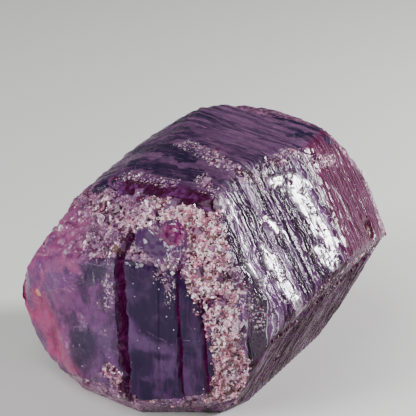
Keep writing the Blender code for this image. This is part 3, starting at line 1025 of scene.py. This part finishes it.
def shard_finish(hues):
    """Glassy splinters, from deep plum to pale lilac."""
    f = Finish("rim_shards", hues, IOR=CORUNDUM_IOR, Specular_IOR_Level=0.5)
    place, tint = f.places(), f.attribute("tint")
    cloud = f.noise(place, 2.2, 4.0, 0.6)
    body = f.layers(
        "maroon",
        ("mauve", tint.step(0.05, 0.3)),
        ("heather", tint.step(0.3, 0.5)),
        ("lilac", tint.step(0.5, 0.75)),
        ("sugar", tint.step(0.82, 1.0) * 0.8),
        ("plum", cloud.step(0.5, 0.66) * 0.7))
    return f.paint(body, 0.08 + tint * 0.12, f.bump(cloud * 0.08, 0.6))


class SAPPHIRE_OT_crystal(bpy.types.Operator):
    """Model the crystal: a faceted barrel with ledges, clefts, lumps and pits"""
    bl_idname = "sapphire.crystal"
    bl_label = "Crystal"

    def execute(self, context):
        sizes = context.scene.sapphire_sizes
        crystal = block_mesh(sizes)
        carve(crystal.data, sizes)
        to_frame(crystal.data)
        bpy.ops.object.shade_smooth_by_angle(angle=math.radians(SMOOTH_UP_TO))
        crystal.data.materials.append(crystal_finish(context.scene.sapphire_colours))
        finish_piece(crystal, "crystal_body")
        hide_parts(NODE)
        return {"FINISHED"}


def grain_shapes():
    """A few angular blocks, each a cube with three corners cut away."""
    rng = random.Random(SHAPE_SEED)
    shapes = []
    for _ in range(SHAPE_COUNT):
        unselect()
        bpy.ops.mesh.primitive_cube_add(size=1.0)
        block = bpy.context.object
        block.scale = (1.0, rng.uniform(0.45, 0.9), rng.uniform(0.28, 0.65))
        bpy.ops.object.transform_apply(scale=True)
        bpy.ops.object.mode_set(mode="EDIT")
        for _ in range(3):
            away = Vector([rng.choice((-1, 1)) * rng.uniform(0.4, 1.0) for _ in range(3)]).normalized()
            cut(away * rng.uniform(0.28, 0.42), away)
        bpy.ops.mesh.select_all(action="SELECT")
        bpy.ops.mesh.quads_convert_to_tris()
        bpy.ops.object.mode_set(mode="OBJECT")
        mesh = block.data
        shapes.append((np.array([v.co for v in mesh.vertices]), [tuple(p.vertices) for p in mesh.polygons]))
        bpy.data.objects.remove(block)
    return shapes


def scatter(name, points, normals, density, count, widths, seed, sunk):
    """Small angular blocks sunk into the crystal, as one joined mesh, more of them where it's dense."""
    rng = random.Random(seed)
    shapes = grain_shapes()
    verts, faces, tints, total = [], [], [], 0
    for index in rng.choices(range(len(points)), weights=density, k=count):
        corners, sides = shapes[rng.randrange(len(shapes))]
        size = widths[0] + (widths[1] - widths[0]) * rng.random() ** 2.5
        centre = points[index] - normals[index] * size * sunk * MM
        verts.append(corners @ turned(rng).T * (size * MM) + centre)
        faces += [tuple(corner + total for corner in side) for side in sides]
        tints += [rng.random()] * len(corners)
        total += len(corners)
    verts = np.clip(np.concatenate(verts), *np.array(CAD_BOX))
    mesh = bpy.data.meshes.new(name)
    mesh.from_pydata(verts.tolist(), [], faces)
    store(mesh, "tint", np.array(tints))
    local = verts / MM - np.array(MIDDLE)
    store(mesh, "rosy", leftness(local, *ROSY))
    piece = bpy.data.objects.new(name, mesh)
    bpy.context.collection.objects.link(piece)
    finish_piece(piece, name)
    return piece


def turned(rng):
    """A random turn as a matrix."""
    turn = Quaternion([rng.gauss(0, 1) for _ in range(4)]).normalized()
    return np.array(turn.to_matrix())


class SAPPHIRE_OT_grains(bpy.types.Operator):
    """Scatter small angular crystals and splinters over the bruised rims"""
    bl_idname = "sapphire.grains"
    bl_label = "Grains and shards"

    def execute(self, context):
        sizes, hues = context.scene.sapphire_sizes, context.scene.sapphire_colours
        mesh = bpy.data.objects["crystal_body"].data
        points, normals = read_points(mesh)
        sugar, bruise, fleck, clear, rosy, cleft, end = (
            read_tone(mesh, name) for name in ("sugar", "bruise", "fleck", "clear", "rosy", "cleft", "end"))
        local = points / MM - np.array(MIDDLE)
        open_to_grains = (local[:, 2] > GRAINS_LOW) * (1.0 - clear) ** 3 * (cleft < 0.05)
        gathered = smooth(-0.25, 0.25, rough(local, 1.1, 12.0) + 0.6 * rough(local, 0.5, 13.0))
        apart = 1.0 - 0.85 * leftness(local, *VEINED)
        density = (sugar * (0.12 + gathered) * (1.0 - 0.6 * rosy) + 0.06 * bruise) * apart
        density += 0.07 * fleck * smooth(0.0, 0.3, rough(local, 0.9, 18.0)) * (1.0 - 0.6 * end)
        density *= open_to_grains
        widths = sizes.grain_low, sizes.grain_high
        grains = scatter("sugar_grains", points, normals, density, sizes.grains, widths, *GRAINS)
        grains.data.materials.append(grain_finish(hues))
        density = (bruise * (0.35 + 0.65 * rosy) + 0.2 * fleck) * smooth(-0.2, 0.2, rough(local, 1.4, 19.0))
        density *= apart * (local[:, 0] < SHARDS_FAR) * open_to_grains
        widths = sizes.shard_low, sizes.shard_high
        shards = scatter("rim_shards", points, normals, density, sizes.shards, widths, *SHARDS)
        shards.data.materials.append(shard_finish(hues))
        return {"FINISHED"}


def aim(thing, target):
    thing.rotation_euler = (target - thing.location).to_track_quat("-Z", "Y").to_euler()


def soft_light(name, towards, distance, size, power):
    """A square area light in a direction from the crystal's middle, facing it."""
    unselect()
    middle = MIDDLE * MM
    bpy.ops.object.light_add(type="AREA", location=middle + Vector(towards).normalized() * distance)
    light = bpy.context.object
    light.name = name
    light.data.shape = "RECTANGLE"
    light.data.size, light.data.size_y = size
    light.data.energy = power
    aim(light, middle)


def make_camera():
    """A long lens that shows the crystal where the photograph does."""
    azimuth, elevation = math.radians(AZIMUTH), math.radians(ELEVATION)
    level = Vector((math.sin(azimuth), -math.cos(azimuth), 0.0))
    back = level * math.cos(elevation) + Vector((0.0, 0.0, math.sin(elevation)))
    right = Vector((math.cos(azimuth), math.sin(azimuth), 0.0))
    up = back.cross(right)
    distance = PHOTO_SIDE * MM_PER_PIXEL * LENS / SENSOR * MM
    middle = MIDDLE * MM
    half = PHOTO_SIDE / 2
    target = middle + (right * (half - MIDDLE_PIXEL[0]) + up * (MIDDLE_PIXEL[1] - half)) * MM_PER_PIXEL * MM
    bpy.ops.object.camera_add(location=middle + back * distance)
    camera = bpy.context.object
    camera.data.lens, camera.data.sensor_width = LENS, SENSOR
    camera.data.clip_start, camera.data.clip_end = CLIP
    aim(camera, target)
    bpy.context.scene.camera = camera


def floor_finish(hue):
    f = Finish("pale_floor")
    return f.paint(hue, 0.65, f.bump(f.noise(f.places(), 0.4), 0.02))


class SAPPHIRE_OT_studio(bpy.types.Operator):
    """Add the pale floor, the soft lights and the camera"""
    bl_idname = "sapphire.studio"
    bl_label = "Studio"

    def execute(self, context):
        studio = context.scene.sapphire_studio
        unselect()
        bpy.ops.mesh.primitive_plane_add(size=FLOOR_SIDE, location=(0, 0, 0))
        floor = context.object
        floor.name = "floor"
        floor.data.materials.append(floor_finish(studio.floor))
        for name, (towards, distance, size) in LIGHTS.items():
            soft_light(f"{name}_light", towards, distance, size, getattr(studio, name))
        make_camera()
        world = bpy.data.worlds.new("plain_room")
        world.use_nodes = True
        ground = world.node_tree.nodes["Background"]
        ground.inputs["Color"].default_value = WHITE
        ground.inputs["Strength"].default_value = studio.world
        context.scene.world = world
        return {"FINISHED"}


class SAPPHIRE_PT_panel(bpy.types.Panel):
    """Lists the sapphire's pieces and sizes"""
    bl_idname = "SAPPHIRE_PT_panel"
    bl_label = "Rough Sapphire"
    bl_space_type = "VIEW_3D"
    bl_region_type = "UI"
    bl_category = "Sapphire"

    def draw(self, context):
        for operator in OPERATORS:
            self.layout.operator(operator.bl_idname)
        for group_name in GROUPS:
            group = getattr(context.scene, group_name)
            column = self.layout.column(align=True)
            for name in group.bl_rna.properties.keys():
                if name not in ("rna_type", "name"):
                    column.prop(group, name)


OPERATORS = (SAPPHIRE_OT_crystal, SAPPHIRE_OT_grains, SAPPHIRE_OT_studio)
GROUPS = {
    "sapphire_sizes": SapphireSizes,
    "sapphire_colours": SapphireColours,
    "sapphire_studio": SapphireStudio,
}
CLASSES = (*GROUPS.values(), *OPERATORS, SAPPHIRE_PT_panel)


def register():
    for item in CLASSES:
        bpy.utils.register_class(item)
    for name, group in GROUPS.items():
        setattr(bpy.types.Scene, name, PointerProperty(type=group))


def unregister():
    for name in GROUPS:
        delattr(bpy.types.Scene, name)
    for item in reversed(CLASSES):
        bpy.utils.unregister_class(item)


def main():
    register()
    bpy.ops.sapphire.crystal()
    bpy.ops.sapphire.grains()
    bpy.ops.sapphire.studio()


if __name__ == "__main__":
    main()
